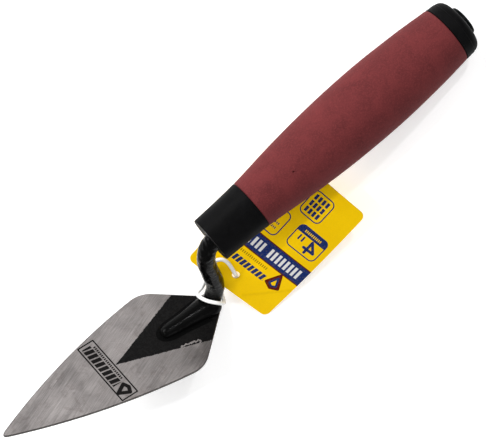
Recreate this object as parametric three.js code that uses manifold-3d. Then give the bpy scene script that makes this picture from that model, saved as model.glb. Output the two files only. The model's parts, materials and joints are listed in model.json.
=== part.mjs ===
// A 100 mm pointing trowel: a kite-shaped steel blade, a forged shank that is welded to it and runs
// into the handle as a tang, a moulded handle with a soft sleeve, and a card tag on a plastic loop.
//
// The trowel is drawn in its own frame, in millimetres: X runs from the blade's heel to its tip, Z is up
// from the blade's top face, and Y is across the blade. It is then laid down the way it rests on a table,
// on one shoulder of the blade, one corner of the heel and the butt of the handle.
import * as THREE from "three";
import { mergeVertices } from "three/addons/utils/BufferGeometryUtils.js";
import Module from "manifold-3d";

// ---- Driving dimensions, mm and degrees ----
const GAP = 0.3; // between pieces that touch

const BLADE_LENGTH = 103.4;
const BLADE_HALF_WIDTH = 22;
const BLADE_THICKNESS = 1.2;
const HEEL_HALF_WIDTH = 4.9;
const SHOULDER_X = 20.7; // where the blade is widest
const EDGE_APEX_X = 105.4; // where the two front edges would meet
const FRONT_EDGE_BULGE = 2.8;
const SHOULDER_ROUNDING = 5.5; // how far along each edge the rounding starts
const TIP_ROUNDING_X = 101.4;

// The foot's half-width at each distance from the heel.
const FOOT_OUTLINE = [
  [-3, 0],
  [-2.2, 3.4],
  [0.5, 5.2],
  [4, 5.2],
  [14, 4.1],
  [23, 3.2],
  [25.6, 2.3],
  [26.8, 0],
];
const NECK_RADIUS = 3.8;
const NECK_ROUTE = [
  [1.4, 0, 1.6],
  [0, 0, 6.5],
  [-0.8, 0, 11],
  [-0.2, 0, 16.3],
  [1.3, 0, 21.5],
  [3, 0, 27.2],
  [4.6, 0, 34],
  [4.5, 0, 40.5],
  [2, 0, 45.8],
];
const TANG_END_RADIUS = 2.2;
const TANG_START = 7; // distances along the handle's axis from its front face
const TANG_END = 72;
const WELD_RADIUS = 0.5;
const WELD_ROUTE = [
  [4.6, 6.2],
  [10, 5.55],
  [16, 4.85],
  [23, 4.2],
  [26.4, 2.6],
  [27.8, 0],
]; // along one side of the foot to its toe

const HANDLE_FRONT = new THREE.Vector3(3.2, 0, 47.4); // centre of the handle's front face
const HANDLE_LIFT = 20.1; // the handle's angle to the blade
const HANDLE_LENGTH = 131.1;
const HANDLE_RADII = [9.86, 10.8, 13.08, 14.5, 14.81, 13.8, 12.05]; // at equal steps along it
const GRIP_START = 21.2;
const GRIP_END = 123.7;
const GRIP_WALL = 2.4;
const FRONT_CHAMFER = 0.5;
const BUTT_ROUNDING = 3.4;
const PLUG_HEAD_RADIUS = 6.3;
const PLUG_HEAD_HEIGHT = 1.7;
const PLUG_STEM_RADIUS = 4.2;
const PLUG_STEM_LENGTH = 9;
const PLUG_CHAMFER = 0.6;

const REST_ROLL = 39.38; // how the trowel lies: turned about its length,
const REST_PITCH = -27.66; // then tipped back until the butt comes down

const TAG_LENGTH = 60.6;
const TAG_WIDTH = 41.8;
const TAG_THICKNESS = 0.5;
const TAG_CORNER = 2.5;
const TAG_HOLE_RADIUS = 1.6;
const TAG_HOLE_INSET = 7.2; // from the card's short edge
const TAG_HOLE_OFFSET = 1.4; // across the card, from its middle
const TAG_BOW_RADIUS = 133;
const TAG_BOW_HEADING = 47.6; // direction of the bow, measured in the card from its length
const TAG_PLACE = new THREE.Vector3(-10.43, 11.87, 11.55); // middle of the card's face, as it lies
const TAG_TURN = [-9.15, 4.54, -157.39]; // about X, Y and Z

// The loop's route as it lies: from its lock under the card, up through the hole, behind the neck, down
// its far side, round the front of the neck's root and back under the card to the lock.
const TIE_RADIUS = 0.8;
const TIE_ROUTE = [
  [14.6, 21.3, 3.4],
  [13.2, 21.4, 3.5],
  [11.7, 20.3, 5.1],
  [11.3, 18.9, 7.7],
  [11.2, 17.6, 10.3],
  [11.1, 14.4, 12.8],
  [11.5, 11.5, 14.1],
  [12.7, 9.6, 14.5],
  [14.8, 8.9, 14.0],
  [17.5, 9.4, 12.5],
  [19.9, 11.4, 10.5],
  [21.8, 13.5, 9.4],
  [23.9, 16.0, 6.6],
  [26.3, 18.1, 4.1],
  [28.4, 18.9, 4.1],
  [28.9, 19.6, 6.4],
  [27.8, 20.8, 9.9],
  [25.7, 22.7, 12.1],
  [23.1, 24.7, 12.4],
  [21.1, 26.6, 10.0],
  [20.7, 27.2, 6.4],
  [20.5, 25.8, 3.9],
  [20.1, 23.5, 3.2],
  [18.4, 22.2, 2.9],
];
const LOCK_SIZE = [3.0, 2.6, 2.2];

// ---- Solids ----
const wasm = await Module();
wasm.setup();

function toSolid(geometry) {
  const bare = geometry.clone();
  bare.deleteAttribute("normal");
  bare.deleteAttribute("uv");
  const merged = mergeVertices(bare, 1e-4);
  const mesh = new wasm.Mesh({
    numProp: 3,
    vertProperties: new Float32Array(merged.attributes.position.array),
    triVerts: new Uint32Array(merged.index.array),
  });
  return new wasm.Manifold(mesh);
}

function toGeometry(solid) {
  const mesh = solid.getMesh();
  const geometry = new THREE.BufferGeometry();
  geometry.setAttribute("position", new THREE.BufferAttribute(mesh.vertProperties, 3));
  geometry.setIndex(new THREE.BufferAttribute(mesh.triVerts, 1));
  geometry.computeVertexNormals();
  return geometry;
}

function piece(name, geometry, color, roughness, metalness = 0) {
  const material = new THREE.MeshStandardMaterial({ color, roughness, metalness });
  const mesh = new THREE.Mesh(geometry, material);
  mesh.name = name;
  return mesh;
}

// A solid of revolution about +Z from [radius, z] points.
function turned(points, segments = 32) {
  const outline = points.map(([radius, z]) => new THREE.Vector2(radius, z));
  return new THREE.LatheGeometry(outline, segments).rotateX(Math.PI / 2);
}

function swept(curve, radius, sides, steps) {
  const section = new THREE.Shape();
  for (let i = 0; i < sides; i++) {
    const angle = (2 * Math.PI * i) / sides;
    const x = radius * Math.cos(angle);
    const y = radius * Math.sin(angle);
    if (i === 0) section.moveTo(x, y);
    else section.lineTo(x, y);
  }
  section.closePath();
  return new THREE.ExtrudeGeometry(section, { steps, extrudePath: curve });
}

// ---- Blade ----
function bladeOutline() {
  const shoulder = new THREE.Vector2(SHOULDER_X, BLADE_HALF_WIDTH);
  const heel = new THREE.Vector2(0, HEEL_HALF_WIDTH);
  const apex = new THREE.Vector2(EDGE_APEX_X, 0);
  const front = apex.clone().sub(shoulder);
  const outward = new THREE.Vector2(-front.y, front.x).normalize();
  const bulge = shoulder.clone().lerp(apex, 0.5).addScaledVector(outward, 2 * FRONT_EDGE_BULGE);
  const beforeShoulder = shoulder.clone().addScaledVector(heel.sub(shoulder).normalize(), SHOULDER_ROUNDING);
  const afterShoulder = shoulder
    .clone()
    .addScaledVector(bulge.clone().sub(shoulder).normalize(), SHOULDER_ROUNDING);
  const tipY = (EDGE_APEX_X - TIP_ROUNDING_X) * ((bulge.y - apex.y) / (apex.x - bulge.x));
  const tipX = 2 * BLADE_LENGTH - TIP_ROUNDING_X; // puts the rounding's middle at the blade's length

  const shape = new THREE.Shape();
  shape.moveTo(0, -HEEL_HALF_WIDTH);
  shape.lineTo(beforeShoulder.x, -beforeShoulder.y);
  shape.quadraticCurveTo(shoulder.x, -shoulder.y, afterShoulder.x, -afterShoulder.y);
  shape.quadraticCurveTo(bulge.x, -bulge.y, TIP_ROUNDING_X, -tipY);
  shape.quadraticCurveTo(tipX, 0, TIP_ROUNDING_X, tipY);
  shape.quadraticCurveTo(bulge.x, bulge.y, afterShoulder.x, afterShoulder.y);
  shape.quadraticCurveTo(shoulder.x, shoulder.y, beforeShoulder.x, beforeShoulder.y);
  shape.lineTo(0, HEEL_HALF_WIDTH);
  shape.closePath();
  return shape;
}

function blade() {
  const options = { depth: BLADE_THICKNESS, bevelEnabled: false, curveSegments: 14 };
  const plate = new THREE.ExtrudeGeometry(bladeOutline(), options);
  return plate.translate(0, 0, -BLADE_THICKNESS);
}

// ---- Shank: half-round foot, cranked neck and tapered tang, one forging ----
const handleAxis = new THREE.Vector3(0, 0, 1).applyAxisAngle(
  new THREE.Vector3(0, 1, 0),
  THREE.MathUtils.degToRad(HANDLE_LIFT - 90),
);

function alongHandle(distance) {
  return HANDLE_FRONT.clone().addScaledVector(handleAxis, distance);
}

function foot(grow) {
  const profile = FOOT_OUTLINE.map(([x, half], i) => {
    const end = i === 0 ? -grow : i === FOOT_OUTLINE.length - 1 ? grow : 0;
    return [half === 0 ? 0 : half + grow, x + end];
  });
  return turned(profile, 32).rotateY(Math.PI / 2).translate(0, 0, GAP);
}

function neckCurve() {
  const free = NECK_ROUTE.map((point) => new THREE.Vector3(...point));
  return new THREE.CatmullRomCurve3([...free, alongHandle(6), alongHandle(TANG_START + 2)]);
}

function shank(grow = 0) {
  const neck = toSolid(swept(neckCurve(), NECK_RADIUS + grow, 20, 44));
  const length = TANG_END - TANG_START;
  const tangTaper = turned([
    [0, -grow],
    [NECK_RADIUS - 0.05 + grow, -grow],
    [TANG_END_RADIUS + grow, length - 1.5],
    [1 + grow, length + grow],
    [0, length + grow],
  ], 20);
  tangTaper.rotateY(THREE.MathUtils.degToRad(HANDLE_LIFT - 90));
  const tangStart = alongHandle(TANG_START);
  tangTaper.translate(tangStart.x, tangStart.y, tangStart.z);
  const deep = 20;
  const below = toSolid(new THREE.BoxGeometry(4 * deep, 2 * deep, deep).translate(0, 0, GAP - deep / 2));
  return toSolid(foot(grow)).add(neck).add(toSolid(tangTaper)).subtract(below);
}

// One weld bead runs along both sides of the foot and round its toe.
function weldBead() {
  const side = WELD_ROUTE.map(([x, y]) => new THREE.Vector3(x, y, GAP + WELD_RADIUS));
  const otherSide = side.slice(0, -1).map((p) => new THREE.Vector3(p.x, -p.y, p.z)).reverse();
  return swept(new THREE.CatmullRomCurve3([...side, ...otherSide]), WELD_RADIUS, 8, 36);
}

// ---- Handle, drawn along +Z from its front face ----
const handleProfile = new THREE.SplineCurve(
  HANDLE_RADII.map((radius, step) => new THREE.Vector2(step, radius)),
);

// Points of the handle's outside between two distances, moved in by some depth.
function handleOutside(from, to, count, depth = 0) {
  const points = [];
  for (let i = 0; i <= count; i++) {
    const z = from + ((to - from) * i) / count;
    points.push([handleProfile.getPoint(z / HANDLE_LENGTH).y - depth, z]);
  }
  return points;
}

function handleCore() {
  const buttRadius = HANDLE_RADII.at(-1);
  const buttEdge = [];
  for (let i = 1; i <= 5; i++) {
    const angle = (i / 5) * (Math.PI / 2);
    const radius = buttRadius - BUTT_ROUNDING * (1 - Math.cos(angle));
    buttEdge.push([radius, HANDLE_LENGTH - BUTT_ROUNDING * (1 - Math.sin(angle))]);
  }
  const pocket = PLUG_STEM_RADIUS + GAP;
  const pocketFloor = HANDLE_LENGTH - PLUG_STEM_LENGTH - GAP;
  const profile = [
    [0, 0],
    [HANDLE_RADII[0] - FRONT_CHAMFER, 0],
    ...handleOutside(FRONT_CHAMFER, GRIP_START, 3),
    ...handleOutside(GRIP_START, GRIP_END, 12, GRIP_WALL),
    ...handleOutside(GRIP_END, HANDLE_LENGTH - BUTT_ROUNDING, 2),
    ...buttEdge,
    [pocket, HANDLE_LENGTH],
    [pocket, pocketFloor],
    [0, pocketFloor],
  ];
  return turned(profile);
}

function gripSleeve() {
  const from = GRIP_START + GAP;
  const to = GRIP_END - GAP;
  const outside = handleOutside(from, to, 14);
  const inside = handleOutside(from, to, 12, GRIP_WALL - GAP).reverse();
  return turned([...outside, ...inside, outside[0]]);
}

function endPlug() {
  const seat = HANDLE_LENGTH + GAP;
  const top = seat + PLUG_HEAD_HEIGHT;
  const profile = [
    [0, seat - PLUG_STEM_LENGTH],
    [PLUG_STEM_RADIUS - PLUG_CHAMFER, seat - PLUG_STEM_LENGTH],
    [PLUG_STEM_RADIUS, seat - PLUG_STEM_LENGTH + PLUG_CHAMFER],
    [PLUG_STEM_RADIUS, seat],
    [PLUG_HEAD_RADIUS, seat],
    [PLUG_HEAD_RADIUS, top - PLUG_CHAMFER],
    [PLUG_HEAD_RADIUS - PLUG_CHAMFER, top],
    [0, top],
  ];
  return turned(profile, 32);
}

// ---- Tag: a bowed card with rounded corners and a punched hole ----
// It is drawn flat about its middle, length along X, and bowed with its face at z = 0.
function tag() {
  const w = TAG_LENGTH / 2;
  const h = TAG_WIDTH / 2;
  const r = TAG_CORNER;
  const outline = new THREE.Shape();
  outline.moveTo(-w + r, -h);
  outline.lineTo(w - r, -h);
  outline.absarc(w - r, -h + r, r, -Math.PI / 2, 0);
  outline.absarc(w - r, h - r, r, 0, Math.PI / 2);
  outline.absarc(-w + r, h - r, r, Math.PI / 2, Math.PI);
  outline.absarc(-w + r, -h + r, r, Math.PI, 1.5 * Math.PI);
  const hole = new THREE.Path();
  hole.absarc(-w + TAG_HOLE_INSET, TAG_HOLE_OFFSET, TAG_HOLE_RADIUS, 0, 2 * Math.PI, true);
  outline.holes.push(hole);
  const tall = 40; // clears the bow above and below
  const prism = new THREE.ExtrudeGeometry(outline, { depth: tall, bevelEnabled: false, curveSegments: 8 });
  prism.translate(0, 0, -tall / 2);

  const strip = new THREE.Shape();
  const reach = 0.36; // radians to each side, past the card's corners
  strip.absarc(0, -TAG_BOW_RADIUS, TAG_BOW_RADIUS, Math.PI / 2 + reach, Math.PI / 2 - reach, true);
  strip.absarc(
    0,
    -TAG_BOW_RADIUS,
    TAG_BOW_RADIUS - TAG_THICKNESS,
    Math.PI / 2 - reach,
    Math.PI / 2 + reach,
    false,
  );
  strip.closePath();
  const wide = 2 * TAG_LENGTH;
  const bow = new THREE.ExtrudeGeometry(strip, { depth: wide, bevelEnabled: false, curveSegments: 16 });
  bow.translate(0, 0, -wide / 2).rotateX(Math.PI / 2);
  bow.rotateZ(THREE.MathUtils.degToRad(TAG_BOW_HEADING));
  return toGeometry(toSolid(bow).intersect(toSolid(prism)));
}

// ---- Loop: a plastic cord whose two ends are held in a small moulded lock ----
const tieRoute = TIE_ROUTE.map((point) => new THREE.Vector3(...point));

function tieLoop() {
  const curve = new THREE.CatmullRomCurve3(tieRoute, false, "centripetal");
  return swept(curve, TIE_RADIUS, 8, 46);
}

function tieLock() {
  const start = tieRoute[0];
  const end = tieRoute[tieRoute.length - 1];
  const middle = start.clone().lerp(end, 0.5);
  const across = end.clone().sub(start).normalize();
  const body = new THREE.BoxGeometry(...LOCK_SIZE);
  body.applyQuaternion(new THREE.Quaternion().setFromUnitVectors(new THREE.Vector3(1, 0, 0), across));
  return body.translate(middle.x, middle.y, middle.z);
}

// ---- Assembly ----
const handleGroup = new THREE.Group();
handleGroup.position.copy(HANDLE_FRONT);
handleGroup.rotation.y = THREE.MathUtils.degToRad(HANDLE_LIFT - 90);
handleGroup.updateMatrix();
const toHandle = handleGroup.matrix.clone().invert();
const tangHole = toSolid(toGeometry(shank(GAP)).applyMatrix4(toHandle));
const coreSolid = toSolid(handleCore()).subtract(tangHole);
handleGroup.add(
  piece("handle_core", toGeometry(coreSolid), 0x1b1b1d, 0.5),
  piece("grip_sleeve", gripSleeve(), 0x7a3236, 0.85),
  piece("end_plug", endPlug(), 0x161618, 0.35),
);

const trowel = new THREE.Group();
trowel.rotation.set(THREE.MathUtils.degToRad(REST_ROLL), THREE.MathUtils.degToRad(REST_PITCH), 0, "YXZ");
trowel.add(
  piece("blade", blade(), 0x9a948e, 0.35, 1),
  piece("shank", toGeometry(shank()), 0x101011, 0.2),
  piece("weld_bead", weldBead(), 0x101011, 0.25),
  handleGroup,
);
trowel.updateMatrixWorld(true);
const box = new THREE.Box3().setFromObject(trowel, true);
const middle = box.getCenter(new THREE.Vector3());
trowel.position.set(-middle.x, -middle.y, -box.min.z);

const tagMesh = piece("swing_tag", tag(), 0xf2cf12, 0.45);
tagMesh.position.copy(TAG_PLACE);
tagMesh.rotation.set(...TAG_TURN.map(THREE.MathUtils.degToRad));

const part = new THREE.Group();
part.add(
  trowel,
  tagMesh,
  piece("tie_loop", tieLoop(), 0xe9e9e6, 0.4),
  piece("tie_lock", tieLock(), 0xe9e9e6, 0.4),
);
export default part;
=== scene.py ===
"""The looks of a 100 mm pointing trowel with a soft-grip handle and a card tag on a plastic loop.

Each piece is drawn in its own frame in millimetres, as the CAD is, and is then placed in the row frame in
metres. The trowel's frame has X from the blade's heel to its tip and Z up from the blade's top face. The
handle's frame has Z along the handle from its front face. The tag's frame has X along the card.
"""

import json
import math

import bmesh
import bpy
from mathutils import Matrix, Vector, noise


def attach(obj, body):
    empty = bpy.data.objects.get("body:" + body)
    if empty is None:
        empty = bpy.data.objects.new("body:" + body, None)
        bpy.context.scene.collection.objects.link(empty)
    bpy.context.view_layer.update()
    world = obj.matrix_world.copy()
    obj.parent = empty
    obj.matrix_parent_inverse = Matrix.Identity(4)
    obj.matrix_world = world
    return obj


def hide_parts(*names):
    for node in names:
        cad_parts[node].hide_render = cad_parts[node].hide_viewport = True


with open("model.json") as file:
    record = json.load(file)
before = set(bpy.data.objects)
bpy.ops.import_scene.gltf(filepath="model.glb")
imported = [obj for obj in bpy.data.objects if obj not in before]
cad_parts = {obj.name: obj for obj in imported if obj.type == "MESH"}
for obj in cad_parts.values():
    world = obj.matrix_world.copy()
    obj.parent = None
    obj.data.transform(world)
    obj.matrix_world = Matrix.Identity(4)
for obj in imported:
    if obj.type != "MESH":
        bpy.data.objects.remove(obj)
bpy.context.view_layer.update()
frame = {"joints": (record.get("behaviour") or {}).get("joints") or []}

# ---- Driving dimensions, millimetres and degrees, as in the CAD ----
MM = 0.001
GAP = 0.3

BLADE_LENGTH = 103.4
BLADE_HALF_WIDTH = 22
BLADE_THICKNESS = 1.2
BLADE_BEVEL = 0.28
HEEL_HALF_WIDTH = 4.9
SHOULDER_X = 20.7
EDGE_APEX_X = 105.4
FRONT_EDGE_BULGE = 2.8
SHOULDER_ROUNDING = 5.5
TIP_ROUNDING_X = 101.4
PAINT_APEX_X = 49
PAINT_SLOPE = 0.355  # the painted triangle's half-width for each millimetre back from its apex
STAMP = (49.4, -14.8, 56.8, 15.0)  # the stamped panel's low and high corners on the blade
FLAW = ((15.6, 11.2), (22.2, 9.6))  # the two ends of the flaw in the paint

FOOT_OUTLINE = ((-3, 0), (-2.2, 3.4), (0.5, 5.2), (4, 5.2), (14, 4.1), (23, 3.2), (25.6, 2.3), (26.8, 0))
NECK_RADIUS = 3.8
NECK_ROUTE = (
    (1.4, 0, 1.6),
    (0, 0, 6.5),
    (-0.8, 0, 11),
    (-0.2, 0, 16.3),
    (1.3, 0, 21.5),
    (3, 0, 27.2),
    (4.6, 0, 34),
    (4.5, 0, 40.5),
    (2, 0, 45.8),
)
TANG_END_RADIUS = 2.2
TANG_START = 7
TANG_END = 72
LOOP_HEIGHT = 6  # where the loop lies on the neck
LOOP_RUB = 0.12  # how much thinner the neck's lacquer is there
WELD_ROUTE = ((4.6, 6.2), (10, 5.55), (16, 4.85), (23, 4.2), (26.4, 2.6), (27.8, 0))

HANDLE_FRONT = Vector((3.2, 0, 47.4))
HANDLE_LIFT = 20.1
HANDLE_LENGTH = 131.1
HANDLE_PROFILE = (9.86, 10.8, 13.08, 14.5, 14.81, 13.8, 12.05)  # radii at equal steps
GRIP_START = 21.2
GRIP_END = 123.7
GRIP_WALL = 2.4
BUTT_ROUNDING = 3.4
PLUG_HEAD_RADIUS = 6.3
PLUG_HEAD_HEIGHT = 1.7
PLUG_STEM_RADIUS = 4.2
PLUG_STEM_LENGTH = 9
GATE_DISTANCE = 40.8
GATE_ANGLE = 31.5

REST_ROLL = 39.38
REST_PITCH = -27.66

TAG_LENGTH = 60.6
TAG_WIDTH = 41.8
TAG_THICKNESS = 0.5
TAG_CORNER = 2.5
TAG_HOLE = Vector((7.2 - TAG_LENGTH / 2, 1.4))
TAG_HOLE_RADIUS = 1.6
TAG_BOW_RADIUS = 133
TAG_BOW_HEADING = 47.6
TAG_PLACE = (-10.43, 11.87, 11.55)
TAG_TURN = (-9.15, 4.54, -157.39)
PANEL_CORNER = 2.2  # the rounded frames printed on the tag
PANEL_LINE = 0.5

TIE_RADIUS = 0.8
TIE_ROUTE = (
    (14.6, 21.3, 3.4),
    (13.2, 21.4, 3.5),
    (11.7, 20.3, 5.1),
    (11.3, 18.9, 7.7),
    (11.2, 17.6, 10.3),
    (11.1, 14.4, 12.8),
    (11.5, 11.5, 14.1),
    (12.7, 9.6, 14.5),
    (14.8, 8.9, 14.0),
    (17.5, 9.4, 12.5),
    (19.9, 11.4, 10.5),
    (21.8, 13.5, 9.4),
    (23.9, 16.0, 6.6),
    (26.3, 18.1, 4.1),
    (28.4, 18.9, 4.1),
    (28.9, 19.6, 6.4),
    (27.8, 20.8, 9.9),
    (25.7, 22.7, 12.1),
    (23.1, 24.7, 12.4),
    (21.1, 26.6, 10.0),
    (20.7, 27.2, 6.4),
    (20.5, 25.8, 3.9),
    (20.1, 23.5, 3.2),
    (18.4, 22.2, 2.9),
)
LOCK_SIZE = Vector((3.0, 2.6, 2.2))


# ---- Frames ----
def turn(degrees, axis):
    return Matrix.Rotation(math.radians(degrees), 4, axis)


heel = next(joint for joint in frame["joints"] if joint["name"] == "loop_swing")["pos_m"]
ROW = Matrix.Scale(MM, 4)
TROWEL = Matrix.Translation(heel) @ turn(REST_PITCH, "Y") @ turn(REST_ROLL, "X") @ ROW
TO_HANDLE = Matrix.Translation(HANDLE_FRONT) @ turn(HANDLE_LIFT - 90, "Y")
HANDLE = TROWEL @ TO_HANDLE
TAG_SPIN = turn(TAG_TURN[0], "X") @ turn(TAG_TURN[1], "Y") @ turn(TAG_TURN[2], "Z")
TAG = Matrix.Translation(Vector(TAG_PLACE) * MM) @ TAG_SPIN @ ROW


# ---- Camera, lights and floor ----
def camera():
    data = bpy.data.cameras.new("camera")
    data.lens = 195.42
    data.sensor_width = 36
    data.clip_start = 0.05
    view = bpy.data.objects.new("camera", data)
    view.location = (-0.08083, -0.18763, 1.04855)
    view.rotation_euler = [math.radians(angle) for angle in (-11.0251, -0.7665, 153.2116)]
    bpy.context.scene.collection.objects.link(view)
    bpy.context.scene.camera = view


def softbox(name, place, size, power):
    data = bpy.data.lights.new(name, "AREA")
    data.shape = "RECTANGLE"
    data.size, data.size_y = size
    data.energy = power
    light = bpy.data.objects.new(name, data)
    light.location = place
    light.rotation_euler = Vector(place).to_track_quat("Z", "Y").to_euler()
    bpy.context.scene.collection.objects.link(light)


def studio():
    softbox("key", (0.35, -0.95, 0.6), (0.8, 0.5), 15)
    softbox("fill", (-0.1, 0.9, 0.7), (0.9, 0.4), 2)
    softbox("side", (-0.5, -0.4, 1.1), (0.6, 0.6), 2)
    softbox("glint_left", (-0.35, -0.3, 0.5), (0.02, 0.02), 0.7)
    softbox("glint_right", (0.3, -0.2, 0.55), (0.02, 0.02), 0.7)
    world = bpy.data.worlds.new("studio")
    world.use_nodes = True
    world.node_tree.nodes["Background"].inputs["Color"].default_value = (1, 1, 1, 1)
    world.node_tree.nodes["Background"].inputs["Strength"].default_value = 0.5
    bpy.context.scene.world = world
    bpy.context.scene.view_settings.view_transform = "Standard"


def floor():
    """Pale paper that glows a little, as on a light table, so the shadows on it stay faint."""
    reach = 4
    mesh = bpy.data.meshes.new("floor")
    corners = [(-reach, -reach, 0), (reach, -reach, 0), (reach, reach, 0), (-reach, reach, 0)]
    mesh.from_pydata(corners, [], [range(4)])
    obj = bpy.data.objects.new("floor", mesh)
    looks = Looks("floor_paper", ROW)
    paper = looks.mix(looks.noise(0.02, 2), (0.86, 0.86, 0.86), (0.9, 0.9, 0.9))
    looks.set(Base_Color=paper, Roughness=0.9, Emission_Color=(1, 1, 1), Emission_Strength=0.35)
    mesh.materials.append(looks.material)
    bpy.context.scene.collection.objects.link(obj)


# ---- Curves ----
def hermite(start, end, leave, arrive, t):
    square = t * t
    cube = square * t
    from_start = start * (2 * cube - 3 * square + 1) + leave * (cube - 2 * square + t)
    return from_start + end * (3 * square - 2 * cube) + arrive * (cube - square)


def catmull(points, steps):
    """Points along a centripetal Catmull-Rom curve, with some steps between each pair of its points."""
    given = [Vector(point) for point in points]
    given = [2 * given[0] - given[1], *given, 2 * given[-1] - given[-2]]
    route = []
    for a, b, c, d in zip(given, given[1:], given[2:], given[3:]):
        before, between, after = ((q - p).length ** 0.5 for p, q in ((a, b), (b, c), (c, d)))
        leave = (b - a) / before - (c - a) / (before + between) + (c - b) / between
        arrive = (c - b) / between - (d - b) / (between + after) + (d - c) / after
        route += [hermite(b, c, leave * between, arrive * between, step / steps) for step in range(steps)]
    return route + [given[-2]]


def quadratic(start, control, end, steps):
    """Points along a quadratic curve, without its start."""
    shares = [(step + 1) / steps for step in range(steps)]
    return [start.lerp(control, t).lerp(control.lerp(end, t), t) for t in shares]


def arc(middle, radius, start, end, steps):
    """Points along an arc in a plane, angles in degrees."""
    angles = [math.radians(start + (end - start) * step / steps) for step in range(steps + 1)]
    return [Vector((middle[0] + radius * math.cos(a), middle[1] + radius * math.sin(a))) for a in angles]


# ---- Meshes ----
def skin(rings, closed=False):
    """Faces between rings of points. A ring of one point is a pole."""
    pairs = list(zip(rings, rings[1:]))
    if closed:
        pairs.append((rings[-1], rings[0]))
    faces = []
    for low, high in pairs:
        count = max(len(low), len(high))
        for index in range(count):
            after = (index + 1) % count
            corners = [low[index % len(low)], low[after % len(low)]]
            corners += [high[after % len(high)], high[index % len(high)]]
            faces.append(list(dict.fromkeys(corners)))
    return faces


def shell(rings, closed=False, capped=False):
    """Points and faces of a skin over rings of points."""
    points = [point for ring in rings for point in ring]
    numbers = []
    for ring in rings:
        start = numbers[-1][-1] + 1 if numbers else 0
        numbers.append(range(start, start + len(ring)))
    faces = skin(numbers, closed)
    if capped:
        faces += [list(reversed(numbers[0])), list(numbers[-1])]
    return points, faces


def lathe(outline, sides, closed=False):
    """A solid of revolution about Z from pairs of radius and height."""
    rings = []
    for radius, z in outline:
        angles = [2 * math.pi * side / sides for side in range(sides if radius else 1)]
        rings.append([Vector((radius * math.cos(a), radius * math.sin(a), z)) for a in angles])
    return shell(rings, closed)


def tube(route, radii, sides):
    """A tube along a route, with a radius at each of its points."""
    rings = []
    across = None
    for index, (point, radius) in enumerate(zip(route, radii)):
        ahead = (route[min(index + 1, len(route) - 1)] - route[max(index - 1, 0)]).normalized()
        across = (across or ahead.orthogonal()).cross(ahead).cross(ahead).normalized() * -1
        beside = ahead.cross(across)
        angles = [2 * math.pi * side / sides for side in range(sides)]
        rings.append([point + (across * math.cos(a) + beside * math.sin(a)) * radius for a in angles])
    return shell(rings, capped=True)


def solid(name, *shapes):
    """An object of one or more closed shapes, still in their own frame."""
    mesh = bpy.data.meshes.new(name)
    build = bmesh.new()
    for points, faces in shapes:
        corners = [build.verts.new(point) for point in points]
        for face in faces:
            build.faces.new([corners[index] for index in face])
    bmesh.ops.recalc_face_normals(build, faces=build.faces)
    build.to_mesh(mesh)
    build.free()
    mesh.shade_smooth()
    obj = bpy.data.objects.new(name, mesh)
    bpy.context.scene.collection.objects.link(obj)
    return obj


def modify(obj, kind, **settings):
    modifier = obj.modifiers.new(kind.lower(), kind)
    for key, value in settings.items():
        setattr(modifier, key, value)


def settle(obj):
    """Turns an object's modifiers into its mesh."""
    graph = bpy.context.evaluated_depsgraph_get()
    mesh = bpy.data.meshes.new_from_object(obj.evaluated_get(graph))
    obj.modifiers.clear()
    obj.data = mesh


def carve(obj, *shapes):
    """Cuts closed shapes out of an object."""
    cutter = solid("cutter", *shapes)
    modify(obj, "BOOLEAN", operation="DIFFERENCE", solver="EXACT", object=cutter)
    settle(obj)
    bpy.data.objects.remove(cutter)


def swell(obj, rise):
    """Moves each point along its normal by a height that is worked out from its place."""
    vertices = obj.data.vertices
    moved = [vertex.co + vertex.normal * rise(vertex.co) for vertex in vertices]
    for vertex, place in zip(vertices, moved):
        vertex.co = place


def place(obj, to_row, body, slot, nodes, materials, crease=None):
    """Puts a finished piece in the row frame, on its body, in place of its CAD nodes."""
    obj.data.transform(to_row)
    if crease:
        obj.data.set_sharp_from_angle(angle=math.radians(crease))
    for material in materials:
        obj.data.materials.append(material)
    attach(obj, body)
    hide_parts(*nodes)
    return obj


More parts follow.
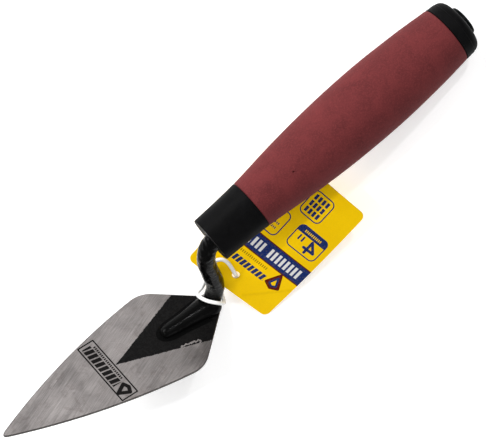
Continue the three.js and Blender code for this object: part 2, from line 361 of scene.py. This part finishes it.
# ---- Material nodes ----
class Looks:
    """One material, with short calls for the nodes that its looks are made of."""

    def __init__(self, name, own_frame):
        self.material = bpy.data.materials.new(name)
        self.material.use_nodes = True
        self.tree = self.material.node_tree
        self.shader = self.tree.nodes["Principled BSDF"]
        where = self.node("ShaderNodeTexCoord").outputs["Object"]
        own = self.node("ShaderNodeMapping", {"Vector": where}, vector_type="TEXTURE")
        own.inputs["Location"].default_value = own_frame.to_translation()
        own.inputs["Rotation"].default_value = own_frame.to_euler()
        own.inputs["Scale"].default_value = own_frame.to_scale()
        self.place = own.outputs[0]  # a point's place in the piece's own frame, in millimetres
        self.x, self.y, self.z = self.node("ShaderNodeSeparateXYZ", {0: self.place}).outputs

    def node(self, kind, inputs=None, **settings):
        made = self.tree.nodes.new(kind)
        for key, value in settings.items():
            setattr(made, key, value)
        for key, value in (inputs or {}).items():
            self.feed(made.inputs[key], value)
        return made

    def feed(self, socket, value):
        if isinstance(value, bpy.types.NodeSocket):
            self.tree.links.new(value, socket)
        elif socket.type == "RGBA":
            socket.default_value = (*value, 1)
        else:
            socket.default_value = value

    def set(self, **values):
        for key, value in values.items():
            self.feed(self.shader.inputs[key.replace("_", " ")], value)

    def math(self, operation, *values, clamp=False):
        made = self.node("ShaderNodeMath", dict(enumerate(values)), operation=operation, use_clamp=clamp)
        return made.outputs[0]

    def vector(self, operation, *values):
        made = self.node("ShaderNodeVectorMath", dict(enumerate(values)), operation=operation)
        return made.outputs[1 if operation in ("DOT_PRODUCT", "LENGTH") else 0]

    def stretched(self, turned, stretch):
        """The place turned about Z and then stretched, for streaks."""
        turned = {"Vector": self.place, "Rotation": (0, 0, math.radians(turned))}
        return self.vector("MULTIPLY", self.node("ShaderNodeMapping", turned).outputs[0], stretch)

    def noise(self, scale, detail=3, roughness=0.5, distortion=0, where=None, shift=None):
        """Noise from 0 to 1 with scale cycles in a millimetre."""
        where = where or self.place
        if shift:
            where = self.vector("ADD", where, shift)
        inputs = {"Vector": where, "Scale": scale, "Detail": detail}
        inputs.update({"Roughness": roughness, "Distortion": distortion})
        return self.node("ShaderNodeTexNoise", inputs).outputs[0]

    def span(self, value, low, high, start=0, end=1):
        """A smooth step from start to end as value goes from low to high."""
        inputs = {0: value, 1: low, 2: high, 3: start, 4: end}
        return self.node("ShaderNodeMapRange", inputs, interpolation_type="SMOOTHSTEP").outputs[0]

    def mix(self, share, first, second):
        made = self.node("ShaderNodeMix", {0: share, 6: first, 7: second}, data_type="RGBA")
        return made.outputs[2]

    def blend(self, share, first, second):
        return self.node("ShaderNodeMix", {0: share, 2: first, 3: second}).outputs[0]

    def bump(self, height, depth, under=None):
        """Relief for a height from 0 to 1 over a depth in millimetres."""
        inputs = {"Height": height, "Distance": depth * MM}
        if under:
            inputs["Normal"] = under
        return self.node("ShaderNodeBump", inputs).outputs[0]

    def all(self, *masks):
        return self.join("MULTIPLY", masks)

    def any(self, *masks):
        return self.join("MAXIMUM", masks)

    def join(self, operation, masks):
        found = masks[0]
        for mask in masks[1:]:
            found = self.math(operation, found, mask)
        return found

    def without(self, mask, cut):
        return self.all(mask, self.math("SUBTRACT", 1, cut))

    def within(self, distance, soft=0.08):
        """1 where a distance to an outline is below zero, with an edge as soft as the ink's."""
        return self.span(distance, -soft / 2, soft / 2, 1, 0)

    def to_box(self, box, corner):
        """Distance to a rounded rectangle given as low x, low y, high x and high y."""
        beyond = []
        for value, low, high in ((self.x, box[0], box[2]), (self.y, box[1], box[3])):
            off = self.math("ABSOLUTE", self.math("SUBTRACT", value, (low + high) / 2))
            beyond.append(self.math("SUBTRACT", off, (high - low) / 2 - corner))
        outside = [self.math("MAXIMUM", value, 0) for value in beyond]
        squares = [self.math("MULTIPLY", value, value) for value in outside]
        length = self.math("SQRT", self.math("ADD", *squares))
        inside = self.math("MINIMUM", self.math("MAXIMUM", *beyond), 0)
        return self.math("SUBTRACT", self.math("ADD", length, inside), corner)

    def to_line(self, start, end):
        """Distance to a line between two points."""
        flat = self.vector("MULTIPLY", self.place, (1, 1, 0))
        start = Vector((*start, 0))
        along = Vector((*end, 0)) - start
        off = self.vector("SUBTRACT", flat, start)
        reached = self.vector("DOT_PRODUCT", off, along)
        share = self.math("MULTIPLY", reached, 1 / along.length_squared, clamp=True)
        nearest = self.node("ShaderNodeVectorMath", {0: along, "Scale": share}, operation="SCALE")
        return self.vector("LENGTH", self.vector("SUBTRACT", off, nearest.outputs[0]))

    def box(self, box, corner=0.1):
        return self.within(self.to_box(box, corner))

    def border(self, box, corner, line):
        """A line of some width round a rounded rectangle."""
        off = self.math("ABSOLUTE", self.to_box(box, corner))
        return self.within(self.math("SUBTRACT", off, line / 2))

    def stroke(self, start, end, line):
        return self.within(self.math("SUBTRACT", self.to_line(start, end), line / 2))

    def strokes(self, points, line):
        return self.any(*[self.stroke(p, q, line) for p, q in zip(points, points[1:])])

    def blocks(self, box, pitch, share=0.7, lean=0):
        """A row of plain blocks across the piece where the real one has a line of lettering."""
        along = self.math("MULTIPLY_ADD", self.x, lean, self.y) if lean else self.y
        phase = self.math("FRACT", self.math("DIVIDE", self.math("SUBTRACT", along, box[1]), pitch))
        off = self.math("ABSOLUTE", self.math("SUBTRACT", phase, 0.5))
        block = self.within(self.math("SUBTRACT", off, share / 2), 0.08 / pitch)
        return self.all(block, self.box(box))


def kite(middle, length, width):
    """Corner points of a kite outline that points along X, the last one repeating the first."""
    x, y = middle
    return [(x + length * 0.65, y), (x - length * 0.15, y + width / 2), (x - length * 0.35, y),
            (x - length * 0.15, y - width / 2), (x + length * 0.65, y)]


def steel(looks, colours):
    """Ground steel, with long fine scratches in a few directions and faint stains."""
    grain = looks.noise(1, 5, 0.7, where=looks.stretched(-24, (0.06, 2.6, 1)))
    cross = looks.noise(1, 4, 0.65, where=looks.stretched(33, (0.08, 2.2, 1)))
    fine = looks.noise(1, 3, 0.6, where=looks.stretched(-8, (0.12, 8, 1)))
    cloud = looks.noise(0.07, 4, 0.6, 0.6)
    stain = looks.noise(0.16, 6, 0.7, 1.2, shift=(7, 3, 0))
    streaks = looks.blend(0.4, grain, fine)
    dark, light, stained = colours
    colour = looks.mix(looks.span(streaks, 0.35, 0.65), dark, light)
    colour = looks.mix(looks.span(cross, 0.55, 0.72, 0, 0.5), colour, light)
    colour = looks.mix(looks.span(stain, 0.5, 0.72, 0, 0.45), colour, stained)
    roughness = looks.span(looks.math("ADD", streaks, cloud), 0.8, 1.25, 0.30, 0.46)
    height = looks.blend(0.35, streaks, cross)
    return colour, roughness, height


def stamped_panel(looks):
    """Black print on the blade: a thin frame with a kite and plain blocks in it."""
    low_x, low_y, high_x, high_y = STAMP
    middle = (low_x + high_x) / 2
    return looks.any(
        looks.border(STAMP, 0.1, 0.6),
        looks.strokes(kite((middle - 0.4, high_y - 3.7), 5.2, 4.6), 1.6),
        looks.blocks((middle - 1.3, low_y + 1.4, high_x - 0.9, high_y - 7.2), 2.4, 0.76, 0.2),
        looks.blocks((low_x + 0.9, low_y + 2.6, low_x + 1.9, high_y - 8.4), 1.0, 0.66),
    )


def blade_top(looks):
    """1 on the blade's upper face, where the print and the paint are."""
    return looks.span(looks.z, -0.7, -0.5)


def blade_paint(looks):
    """The lacquered triangle round the foot, and the long flaw that shows steel at its border."""
    ragged = looks.noise(0.9, 4, 0.6)
    reach = looks.math("MULTIPLY", looks.math("SUBTRACT", PAINT_APEX_X, looks.x), PAINT_SLOPE)
    reach = looks.math("ADD", reach, looks.span(ragged, 0.3, 0.7, -0.16, 0.16))
    inside = looks.math("SUBTRACT", looks.math("ABSOLUTE", looks.y), reach)
    flaw = looks.math("ADD", looks.to_line(*FLAW), looks.span(ragged, 0.3, 0.7, -0.35, 0.35))
    chipped = looks.within(looks.math("SUBTRACT", flaw, 1.15))
    bare = looks.without(chipped, looks.within(looks.math("SUBTRACT", flaw, 0.45)))
    return looks.all(looks.without(looks.within(inside, 0.16), bare), blade_top(looks))


def blade_steel():
    looks = Looks("blade_steel", TROWEL)
    colours = ((0.23, 0.211, 0.207), (0.37, 0.345, 0.338), (0.165, 0.138, 0.132))
    colour, roughness, height = steel(looks, colours)
    print_ink = looks.all(stamped_panel(looks), blade_top(looks))
    worn = looks.math("MULTIPLY", print_ink, looks.span(looks.noise(2.2, 4, 0.6), 0.22, 0.4, 0.85, 1))
    colour = looks.mix(worn, colour, (0.003, 0.0025, 0.0025))
    paint = blade_paint(looks)
    dust = looks.noise(0.5, 5, 0.7)
    lacquer = looks.mix(dust, (0.003, 0.003, 0.003), (0.006, 0.0055, 0.0055))
    covered = looks.any(paint, worn)
    height = looks.blend(paint, height, looks.noise(0.8, 2, 0.4))
    looks.set(
        Base_Color=looks.mix(paint, colour, lacquer),
        Metallic=looks.math("SUBTRACT", 1, covered),
        Roughness=looks.blend(paint, roughness, looks.span(dust, 0.3, 0.7, 0.2, 0.34)),
        Normal=looks.bump(height, 0.02),
        Specular_IOR_Level=0.08,
    )
    return looks.material


def blade_edge_painted_shade():
    looks = Looks("blade_edge_painted_shade", TROWEL)
    # The edge faces get a much darker copy of the blade's steel: painted shade for the dark rim round the
    # blade.
    colours = ((0.05, 0.046, 0.044), (0.1, 0.094, 0.09), (0.04, 0.032, 0.03))
    colour, roughness, height = steel(looks, colours)
    looks.set(Base_Color=colour, Metallic=1.0, Roughness=roughness, Normal=looks.bump(height, 0.03))
    return looks.material


def black_lacquer(name, smooth, rough, specular):
    """Thick dipped lacquer, faintly uneven, with a little dust in it."""
    looks = Looks(name, TROWEL)
    peel = looks.noise(0.9, 2, 0.45)
    dust = looks.noise(3.5, 4, 0.7)
    smear = looks.noise(0.22, 4, 0.6, 0.5)
    looks.set(
        Base_Color=looks.mix(looks.span(dust, 0.62, 0.75), (0.002, 0.002, 0.002), (0.02, 0.019, 0.018)),
        Roughness=looks.span(smear, 0.35, 0.7, smooth, rough),
        Normal=looks.bump(dust, 0.012, looks.bump(peel, 0.12)),
        Specular_IOR_Level=specular,
    )
    return looks.material


def moulded_plastic(name, dark, light, roughness, grain):
    """Moulded plastic with a spark-eroded grain, faint flow marks and fine rub marks."""
    looks = Looks(name, HANDLE)
    pores = looks.noise(3.2, 3, 0.6)
    flow = looks.noise(0.12, 4, 0.6, 0.8)
    rubs = looks.noise(1, 3, 0.6, where=looks.stretched(20, (0.5, 4, 0.3)))
    colour = looks.mix(looks.span(flow, 0.3, 0.7), dark, light)
    colour = looks.mix(looks.span(rubs, 0.62, 0.78, 0, 0.35), colour, [2.2 * value for value in light])
    looks.set(
        Base_Color=colour,
        Roughness=looks.span(looks.math("ADD", rubs, flow), 0.8, 1.2, roughness - 0.06, roughness + 0.08),
        Normal=looks.bump(pores, grain),
        Specular_IOR_Level=0.03,
    )
    return looks.material


def soft_grip():
    """Soft maroon rubber: matte, faintly velvety, mottled, with a few dark specks and pores."""
    looks = Looks("soft_grip", HANDLE)
    mottle = looks.noise(0.09, 5, 0.62, 0.7)
    fine = looks.noise(1.6, 5, 0.65)
    specks = looks.noise(0.75, 2, 0.5, shift=(5, 9, 2))
    pores = looks.noise(4.5, 3, 0.65)
    colour = looks.mix(looks.span(mottle, 0.32, 0.68), (0.081, 0.0128, 0.0142), (0.112, 0.0178, 0.0192))
    colour = looks.mix(looks.span(fine, 0.4, 0.7, 0, 0.7), colour, (0.14, 0.026, 0.027))
    colour = looks.mix(looks.span(specks, 0.74, 0.8, 0, 0.5), colour, (0.045, 0.008, 0.009))
    looks.set(
        Base_Color=colour,
        Roughness=looks.span(fine, 0.3, 0.7, 0.72, 0.86),
        Normal=looks.bump(pores, 0.06, looks.bump(fine, 0.1)),
        Specular_IOR_Level=0.12,
        Sheen_Weight=0.06,
        Sheen_Roughness=0.4,
        Sheen_Tint=(0.9, 0.35, 0.35),
    )
    return looks.material


def size_box(looks):
    """The tag's size panel: a rounded frame with a heading strip, and a 4 and an inch mark in it."""
    box = (0.8, -18.2, 11.6, -3.8)
    low_y, high_x, high_y = box[1:]
    heading = looks.span(looks.x, high_x - 3.4, high_x - 3.3)
    strip = looks.all(looks.box(box, PANEL_CORNER), heading)
    label = looks.blocks((high_x - 2.3, low_y + 3, high_x - 1.2, high_y - 3), 0.85, 0.55)
    four = looks.strokes([(2.2, -12.6), (7.6, -12.6), (3.9, -15.9), (3.9, -11.0)], 1.2)
    inch = looks.any(*[looks.stroke((5.4, y), (7.3, y), 0.8) for y in (-8.6, -6.8)])
    border = looks.border(box, PANEL_CORNER, PANEL_LINE)
    return looks.any(border, looks.without(strip, label), four, inch)


def word_box(looks, low_y):
    """A rounded frame with three rows of blocks."""
    high_y = low_y + 10.3
    low, high = low_y + 1.4, high_y - 1.4
    rows = [looks.blocks((x, low, x + 2.4, high), 1.9, 0.66) for x in (15.9, 19.0, 22.1)]
    return looks.any(looks.border((14.6, low_y, 25.8, high_y), PANEL_CORNER, PANEL_LINE), *rows)


def tool_box(looks):
    """A rounded frame with a kite and two small rows of blocks."""
    border = looks.border((-0.5, 1, 11, 13), PANEL_CORNER, PANEL_LINE)
    rows = [looks.blocks((x, 2.8, x + 1.0, 6.5), 0.8, 0.55) for x in (2.2, 4.4)]
    return looks.any(border, looks.strokes(kite((6.2, 8.6), 6.5, 4), 1.1), *rows)


def card_print(looks):
    """The colours printed on the tag's face, over yellow."""
    half = TAG_WIDTH / 2 + 1
    navy, maroon, white = (0.004, 0.022, 0.13), (0.1, 0.004, 0.004), (0.72, 0.72, 0.72)
    tone = looks.noise(0.06, 3, 0.5)
    ink = looks.mix(looks.span(tone, 0.3, 0.7), (0.9, 0.555, 0.0005), (0.96, 0.61, 0.001))
    ink = looks.mix(looks.box((-11.1, -half, -2.5, half)), ink, maroon)
    ink = looks.mix(looks.box((-10.6, -half, -3.0, half)), ink, navy)
    words = [looks.blocks((-9, y, -4.7, y + 16.8), 2.1, 0.58) for y in (-18.6, 0.3)]
    ink = looks.mix(looks.any(*words), ink, white)
    ink = looks.mix(looks.blocks((-18.4, -8.4, -15.4, 8.0), 2.05, 0.74, 0.25), ink, navy)
    ink = looks.mix(looks.blocks((-13.6, -6.5, -12.4, 9.5), 0.95, 0.5), ink, (0.33, 0.2, 0.003))
    ink = looks.mix(looks.strokes(kite((-16.2, -12.8), 7, 6), 1.4), ink, maroon)
    ink = looks.mix(looks.strokes(kite((-16.2, -12.8), 4.6, 3.4), 0.9), ink, navy)
    panels = looks.any(size_box(looks), tool_box(looks), word_box(looks, -9.0), word_box(looks, 3.3))
    return looks.mix(panels, ink, navy)


def printed_card():
    """Glossy laminated card, yellow with print, a faint crease at one corner with painted shade darkening
    the yellow along it, and fibre under the gloss.
    """
    looks = Looks("printed_card", TAG)
    fibre = looks.noise(1.2, 5, 0.6)
    crease = looks.span(looks.to_line((-14, -20), (-28, -7)), 0, 1.2, 1, 0)
    # Painted shade: the yellow is darkened along the crease.
    colour = looks.mix(looks.math("MULTIPLY", crease, 0.15), card_print(looks), (0.5, 0.3, 0.0))
    looks.set(
        Base_Color=looks.mix(looks.span(fibre, 0.4, 0.8, 0, 0.12), colour, (0.55, 0.35, 0.004)),
        Roughness=looks.span(fibre, 0.3, 0.7, 0.3, 0.42),
        Normal=looks.bump(crease, 0.12, looks.bump(fibre, 0.015)),
        Specular_IOR_Level=0.05,
    )
    return looks.material


def card_edge_painted_shade():
    # Fibre on the cut edges and the hole's wall, darkened to brown as painted shade for the hole's shadow
    # and the card's dark rim.
    looks = Looks("card_edge_painted_shade", TAG)
    fibre = looks.noise(2.5, 4, 0.7)
    looks.set(
        Base_Color=looks.mix(fibre, (0.2, 0.15, 0.06), (0.36, 0.28, 0.13)),
        Roughness=0.85,
        Normal=looks.bump(fibre, 0.08),
    )
    return looks.material


def clear_plastic():
    """Milky nylon, with fine drawing marks along the strand."""
    looks = Looks("clear_plastic", ROW)
    cloud = looks.noise(0.35, 3, 0.5)
    marks = looks.noise(2.4, 3, 0.6)
    looks.set(
        Base_Color=looks.mix(cloud, (0.66, 0.67, 0.68), (0.78, 0.78, 0.78)),
        Roughness=looks.span(marks, 0.3, 0.7, 0.25, 0.4),
        Normal=looks.bump(marks, 0.02),
        Subsurface_Weight=0.35,
        Subsurface_Radius=(1, 1, 1),
        Subsurface_Scale=0.8 * MM,
        Coat_Weight=0.2,
    )
    return looks.material


# ---- Blade ----
def blade_outline():
    """The blade's outline from the heel's +Y corner round the tip to its -Y corner."""
    shoulder = Vector((SHOULDER_X, BLADE_HALF_WIDTH))
    heel_corner = Vector((0, HEEL_HALF_WIDTH))
    apex = Vector((EDGE_APEX_X, 0))
    front = apex - shoulder
    outward = Vector((-front.y, front.x)).normalized()
    bulge = shoulder.lerp(apex, 0.5) + outward * 2 * FRONT_EDGE_BULGE
    before = shoulder + (heel_corner - shoulder).normalized() * SHOULDER_ROUNDING
    after = shoulder + (bulge - shoulder).normalized() * SHOULDER_ROUNDING
    tip = Vector((TIP_ROUNDING_X, (EDGE_APEX_X - TIP_ROUNDING_X) * bulge.y / (apex.x - bulge.x)))
    tip_control = Vector((2 * BLADE_LENGTH - TIP_ROUNDING_X, 0))
    half = [heel_corner, before, *quadratic(before, shoulder, after, 14), *quadratic(after, bulge, tip, 30)]
    round_tip = quadratic(tip, tip_control, Vector((tip.x, -tip.y)), 16)
    return half + round_tip[:-1] + [Vector((point.x, -point.y)) for point in reversed(half)]


def inward(outline, depth):
    """The outline moved in by a depth, point by point."""
    moved = []
    for index, point in enumerate(outline):
        ahead = (outline[(index + 1) % len(outline)] - point).normalized()
        behind = (point - outline[index - 1]).normalized()
        across = Vector((ahead.y + behind.y, -ahead.x - behind.x)).normalized()
        moved.append(point + across * depth / max(across.dot(Vector((ahead.y, -ahead.x))), 0.5))
    return moved


def blade():
    outline = blade_outline()
    rings = []
    for depth, rise in arc((BLADE_BEVEL, -BLADE_BEVEL), BLADE_BEVEL, 90, 180, 4):
        rings.append([Vector((*point, rise)) for point in inward(outline, depth)])
    lower = [[Vector((p.x, p.y, -BLADE_THICKNESS - p.z)) for p in ring] for ring in reversed(rings)]
    obj = solid("trowel_blade", shell(rings + lower, capped=True))
    for face in obj.data.polygons:
        face.use_smooth = len(face.vertices) == 4
        face.material_index = 1 if face.use_smooth else 0
    place(obj, TROWEL, "trowel", "blade_steel", ["blade"], [blade_steel(), blade_edge_painted_shade()])


# ---- Shank ----
def along_handle(distance):
    return TO_HANDLE @ Vector((0, 0, distance))


def neck_route():
    return catmull([*NECK_ROUTE, along_handle(6), along_handle(TANG_START + 2)], 8)


def foot():
    """The half-round foot, drawn as a whole round about X. The part below the blade is cut off later."""
    smooth = catmull([(x, half, 0) for x, half in FOOT_OUTLINE], 5)
    points, faces = lathe([(max(point.y, 0), point.x) for point in smooth], 48)
    return [Vector((point.z, point.y, GAP - point.x)) for point in points], faces


def tang():
    steps = 12
    shares = [step / steps for step in range(steps + 1)]
    route = [along_handle(TANG_START + (TANG_END - TANG_START) * share) for share in shares]
    return tube(route, [NECK_RADIUS + (TANG_END_RADIUS - NECK_RADIUS) * share for share in shares], 24)


def lacquer_lumps(point):
    """Thick lacquer, in runs where the neck enters the handle and thin where the loop lies."""
    broad = noise.noise(point / 4.5)
    tight = noise.noise(point / 1.7 + Vector((9, 4, 2)))
    high = max(0, min(1, (point.z - 30) / 14))
    rubbed = max(0, min(1, 2 - abs(point.z - LOOP_HEIGHT) / 5))
    lumps = (1 - rubbed) * (0.14 * broad + 0.05 * tight)
    return lumps + high * (0.22 * broad + 0.2 * tight) - LOOP_RUB * rubbed


def cut_below(obj, height):
    """Cuts an object flat at a height and closes it there."""
    build = bmesh.new()
    build.from_mesh(obj.data)
    geometry = [*build.verts, *build.edges, *build.faces]
    plane = {"plane_co": (0, 0, height), "plane_no": (0, 0, -1)}
    cut = bmesh.ops.bisect_plane(build, geom=geometry, clear_outer=True, **plane)
    edges = [item for item in cut["geom_cut"] if isinstance(item, bmesh.types.BMEdge)]
    filled = bmesh.ops.triangle_fill(build, edges=edges, use_beauty=True)
    for face in filled["geom"]:
        if isinstance(face, bmesh.types.BMFace):
            face.smooth = False
    build.to_mesh(obj.data)
    build.free()


def shank():
    route = neck_route()
    neck = tube(route, [NECK_RADIUS] * len(route), 40)
    obj = solid("shank_forging", foot(), neck, tang())
    modify(obj, "REMESH", mode="VOXEL", voxel_size=0.3, use_smooth_shade=True)
    modify(obj, "SMOOTH", factor=0.5, iterations=6)
    settle(obj)
    swell(obj, lacquer_lumps)
    cut_below(obj, GAP / 3)
    glossy = black_lacquer("glossy_lacquer", 0.1, 0.2, 0.04)
    place(obj, TROWEL, "trowel", "black_lacquer", ["shank"], [glossy], 60)


def weld_bead():
    """A concave weld along both sides of the foot and round its toe, with a ripple at each puddle."""
    side = [Vector((x, y, 0)) for x, y in WELD_ROUTE]
    route = catmull(side + [Vector((p.x, -p.y, 0)) for p in reversed(side[:-1])], 26)
    travelled = 0
    rings = []
    for index, point in enumerate(route):
        ahead = route[min(index + 1, len(route) - 1)] - route[max(index - 1, 0)]
        out = Vector((-ahead.y, ahead.x, 0)).normalized()
        travelled += (point - route[index - 1]).length if index else 0
        end = min(index, len(route) - 1 - index) / 12
        size = min(1, 0.15 + end) * (1 + 0.07 * math.sin(travelled * 2 * math.pi / 1.3))
        section = [(-1.4, 0.02), (-1.4, 0.9), (-1.1, 0.75), (-0.8, 0.4), (-0.4, 0.2), (0, 0.1), (0.3, 0.02)]
        rings.append([point + (out * off + Vector((0, 0, rise))) * size for off, rise in section])
    obj = solid("foot_weld", shell(rings, capped=True))
    swell(obj, lambda point: 0.06 * noise.noise(point / 1.2))
    dull = black_lacquer("dull_lacquer", 0.55, 0.7, 0.01)
    place(obj, TROWEL, "trowel", "black_lacquer", ["weld_bead"], [dull], 50)


# ---- Handle ----
def handle_radius(distance):
    """A Catmull-Rom spline through the profile's radii."""
    last = len(HANDLE_PROFILE) - 1
    where = distance / HANDLE_LENGTH * last
    index = min(int(where), last - 1)
    before, low, high, after = (HANDLE_PROFILE[min(max(index + step, 0), last)] for step in (-1, 0, 1, 2))
    return hermite(low, high, (high - before) / 2, (after - low) / 2, where - index)


def outside(start, end, steps, depth=0):
    distances = [start + (end - start) * step / steps for step in range(steps + 1)]
    return [(handle_radius(distance) - depth, distance) for distance in distances]


def edge(radius, distance, size, start, end, steps=4):
    """A quarter-round edge of the handle's outline whose corner is at a radius and a distance."""
    inner = radius - size
    middle = distance + size if start < 0 else distance - size
    return [tuple(point) for point in arc((inner, middle), size, start, end, steps)]


def handle_core():
    """The black core: collar, seat under the sleeve, butt with the plug's pocket, and the tang's hole."""
    rim = 0.5
    seat_edge = 0.25
    pocket = PLUG_STEM_RADIUS + GAP
    pocket_floor = HANDLE_LENGTH - PLUG_STEM_LENGTH - GAP
    butt = handle_radius(HANDLE_LENGTH)
    outline = [
        (0, 0),
        (handle_radius(0) - 2.2, 0),
        *edge(handle_radius(0), 0, rim, -90, 0),
        *outside(rim + 0.3, GRIP_START - seat_edge, 12),
        *edge(handle_radius(GRIP_START), GRIP_START, seat_edge, 0, 90, 3),
        *outside(GRIP_START, GRIP_END, 20, GRIP_WALL),
        *edge(handle_radius(GRIP_END), GRIP_END, seat_edge, -90, 0, 3),
        *outside(GRIP_END + 0.4, HANDLE_LENGTH - BUTT_ROUNDING - 0.2, 4),
        *edge(butt, HANDLE_LENGTH, BUTT_ROUNDING, 0, 90, 12),
        (PLUG_HEAD_RADIUS + 1.2, HANDLE_LENGTH),
        (PLUG_HEAD_RADIUS + 0.7, HANDLE_LENGTH - seat_edge),
        (pocket, HANDLE_LENGTH - seat_edge),
        (pocket, pocket_floor),
        (0, pocket_floor),
    ]
    obj = solid("handle_core_moulding", lathe(outline, 128))
    to_own = TO_HANDLE.inverted()
    route = [to_own @ point for point in neck_route()]
    tang_route = [Vector((0, 0, TANG_START)), Vector((0, 0, TANG_END + GAP))]
    tang_hole = tube(tang_route, [NECK_RADIUS + GAP, TANG_END_RADIUS + GAP], 40)
    carve(obj, tube(route, [NECK_RADIUS + GAP] * len(route), 40), tang_hole)
    black = moulded_plastic("black_plastic", (0.0018, 0.0018, 0.002), (0.0035, 0.0035, 0.0037), 0.5, 0.03)
    place(obj, HANDLE, "trowel", "black_plastic", ["handle_core"], [black], 35)


def grip_sleeve():
    """The soft sleeve, with the dimple that its moulding gate left."""
    gate_radius = 0.55
    start = GRIP_START + GAP / 2
    end = GRIP_END - GAP / 2
    lip = 0.5
    outline = [
        *edge(handle_radius(start), start, lip, -90, 0),
        *outside(start + lip + 0.2, end - lip - 0.2, 110),
        *edge(handle_radius(end), end, lip, 0, 90),
        *reversed(outside(start, end, 30, GRIP_WALL - GAP)),
    ]
    obj = solid("soft_grip_sleeve", lathe(outline, 192, closed=True))
    swell(obj, lambda point: 0.05 * noise.noise(point / 11) if Vector(point[:2]).length > 9 else 0)
    angle = math.radians(GATE_ANGLE)
    radius = handle_radius(GATE_DISTANCE)
    gate = Vector((radius * math.cos(angle), radius * math.sin(angle), GATE_DISTANCE))
    side = [tuple(point) for point in arc((0, 0), gate_radius, -75, 75, 6)]
    dimple = [(0, -gate_radius), *side, (0, gate_radius)]
    points, faces = lathe(dimple, 16)
    carve(obj, ([point + gate for point in points], faces))
    place(obj, HANDLE, "trowel", "soft_grip", ["grip_sleeve"], [soft_grip()], 40)


def end_plug():
    seat = HANDLE_LENGTH + GAP / 3
    top = HANDLE_LENGTH + GAP + PLUG_HEAD_HEIGHT
    rim = 0.7
    outline = [
        (0, seat - PLUG_STEM_LENGTH),
        (PLUG_STEM_RADIUS - 0.5, seat - PLUG_STEM_LENGTH),
        (PLUG_STEM_RADIUS, seat - PLUG_STEM_LENGTH + 0.8),
        (PLUG_STEM_RADIUS, seat - 0.3),
        (PLUG_HEAD_RADIUS - 0.3, seat - 0.3),
        (PLUG_HEAD_RADIUS, seat),
        *edge(PLUG_HEAD_RADIUS, top, rim, 0, 90, 6),
        (PLUG_HEAD_RADIUS - 1.3, top),
        (PLUG_HEAD_RADIUS - 1.6, top - 0.25),
        (PLUG_HEAD_RADIUS - 3.0, top - 0.32),
        (0, top - 0.35),
    ]
    obj = solid("butt_plug", lathe(outline, 96))
    shiny = moulded_plastic("plug_plastic", (0.0018, 0.002, 0.0023), (0.004, 0.0046, 0.005), 0.26, 0.01)
    place(obj, HANDLE, "trowel", "plug_plastic", ["end_plug"], [shiny], 40)


# ---- Tag ----
def card_outline():
    w = TAG_LENGTH / 2 - TAG_CORNER
    h = TAG_WIDTH / 2 - TAG_CORNER
    corners = [(w, h, 0), (-w, h, 90), (-w, -h, 180), (w, -h, 270)]
    return [point for x, y, start in corners for point in arc((x, y), TAG_CORNER, start, start + 90, 8)]


def swing_tag():
    """A card cut flat, sliced across its bow, and bent over a cylinder."""
    build = bmesh.new()
    for loop in (card_outline(), arc(TAG_HOLE, TAG_HOLE_RADIUS, 0, 360, 28)[:-1]):
        corners = [build.verts.new((*point, 0)) for point in loop]
        for first, second in zip(corners, corners[1:] + corners[:1]):
            build.edges.new((first, second))
    bmesh.ops.triangle_fill(build, edges=build.edges, use_beauty=True)
    heading = Vector((math.cos(math.radians(TAG_BOW_HEADING)), math.sin(math.radians(TAG_BOW_HEADING)), 0))
    reach = 37  # from the card's middle to past its corners
    for distance in range(-reach, reach + 1):
        geometry = [*build.verts, *build.edges, *build.faces]
        bmesh.ops.bisect_plane(build, geom=geometry, plane_co=heading * distance, plane_no=heading)
    for vertex in build.verts:
        off = vertex.co.dot(heading)
        vertex.co.z = math.sqrt(TAG_BOW_RADIUS**2 - off**2) - TAG_BOW_RADIUS
    bmesh.ops.recalc_face_normals(build, faces=build.faces)
    if sum(face.normal.z for face in build.faces) < 0:
        bmesh.ops.reverse_faces(build, faces=build.faces)
    mesh = bpy.data.meshes.new("card_tag")
    build.to_mesh(mesh)
    build.free()
    mesh.shade_smooth()
    obj = bpy.data.objects.new("card_tag", mesh)
    bpy.context.scene.collection.objects.link(obj)
    modify(obj, "SOLIDIFY", thickness=TAG_THICKNESS, offset=-1, material_offset_rim=1)
    for material in (printed_card(), card_edge_painted_shade()):
        mesh.materials.append(material)
    settle(obj)
    return place(obj, TAG, "tag", "printed_card", ["swing_tag"], [], 40)


# ---- Loop ----
def tie_lock():
    start, end = Vector(TIE_ROUTE[0]), Vector(TIE_ROUTE[-1])
    half = LOCK_SIZE / 2
    across = (end - start).to_track_quat("X", "Z").to_matrix().to_4x4()
    outline = [corner for x, y, turned in ((1, 1, 0), (-1, 1, 90), (-1, -1, 180), (1, -1, 270))
               for corner in arc((x * (half.x - 0.4), y * (half.y - 0.4)), 0.4, turned, turned + 90, 4)]
    rings = []
    for shrink, z in ((0.35, -half.z), (0.1, -half.z + 0.12), (0, -half.z + 0.4), (0, -0.25), (0.18, -0.1)):
        rings.append([Vector((*(point * (1 - shrink / half.x)), z)) for point in outline])
    rings += [[Vector((p.x, p.y, -p.z)) for p in ring] for ring in reversed(rings)]
    obj = solid("loop_lock", shell(rings, capped=True))
    to_row = ROW @ Matrix.Translation((start + end) / 2) @ across
    return place(obj, to_row, "loop", "clear_plastic", ["tie_lock"], [clear_plastic()], 50)


def tie_loop(lock, tag):
    route = catmull(TIE_ROUTE, 8)
    obj = solid("plastic_loop", tube(route, [TIE_RADIUS] * len(route), 16))
    place(obj, ROW, "loop", "clear_plastic", ["tie_loop"], [bpy.data.materials["clear_plastic"]], 60)


camera()
tie_loop(tie_lock(), swing_tag())
blade()
shank()
weld_bead()
handle_core()
grip_sleeve()
end_plug()
studio()
floor()
